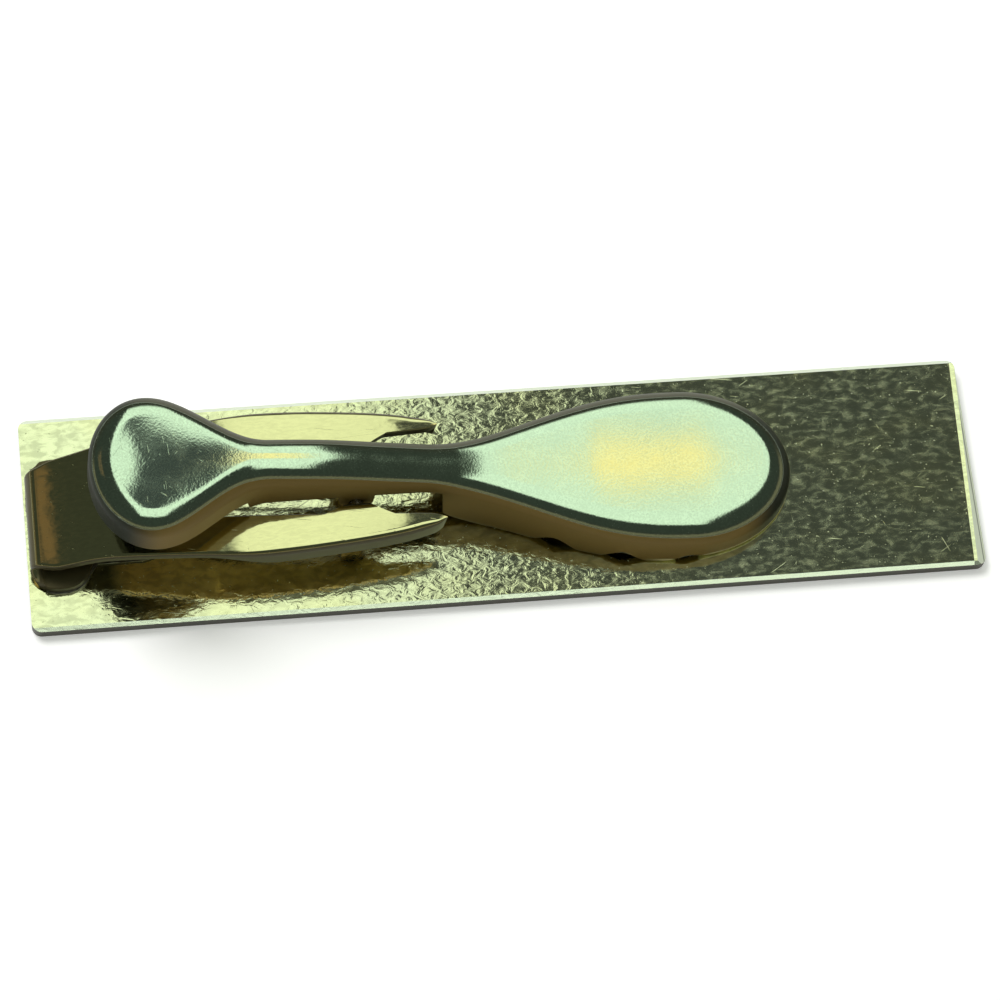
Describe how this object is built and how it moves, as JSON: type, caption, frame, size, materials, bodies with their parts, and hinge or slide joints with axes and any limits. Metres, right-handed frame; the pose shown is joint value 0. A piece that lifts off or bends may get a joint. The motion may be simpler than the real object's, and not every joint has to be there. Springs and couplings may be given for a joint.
{
  "type": "tie clip",
  "caption": "Bar tie clip lying face down: a sprung lever with a thumb pad and a toothed jaw turns on a pin in a bent fork soldered to the bar's back.",
  "frame": {"origin": "centre of the bar's front face, which is down", "axes": "+X along the bar from the thumb end towards the jaw's toe, +Y across the bar, +Z out of the bar's back, towards the clip"},
  "size_m": [0.0572, 0.0136, 0.0093],
  "materials": {
    "bar_gilt": "worn pale gold plate with fine scratches",
    "solder": "dull grey solder",
    "fork_gilt": "bright yellow gold plate",
    "pin_steel": "plain drawn wire",
    "spring_steel": "oiled spring wire",
    "lever_gilt": "satin pale gold plate, rubbed on the thumb pad"
  },
  "bodies": {
    "bar_and_fork": {"front_bar": "bar_gilt", "solder_seam": "solder", "clip_fork": "fork_gilt", "pivot_pin": "pin_steel", "torsion_spring": "spring_steel"},
    "lever": {"jaw_lever": "lever_gilt"}
  },
  "joints": [
    {"name": "jaw_hinge", "type": "hinge", "parent": "bar_and_fork", "child": "lever", "pos_m": [-0.00923, 0, 0.0043], "axis": [0, -1, 0], "range_deg": [0, 7], "stiffness_Nm_per_rad": 0.01, "springref_deg": -57.3, "deforming": ["torsion_spring"]}
  ]
}
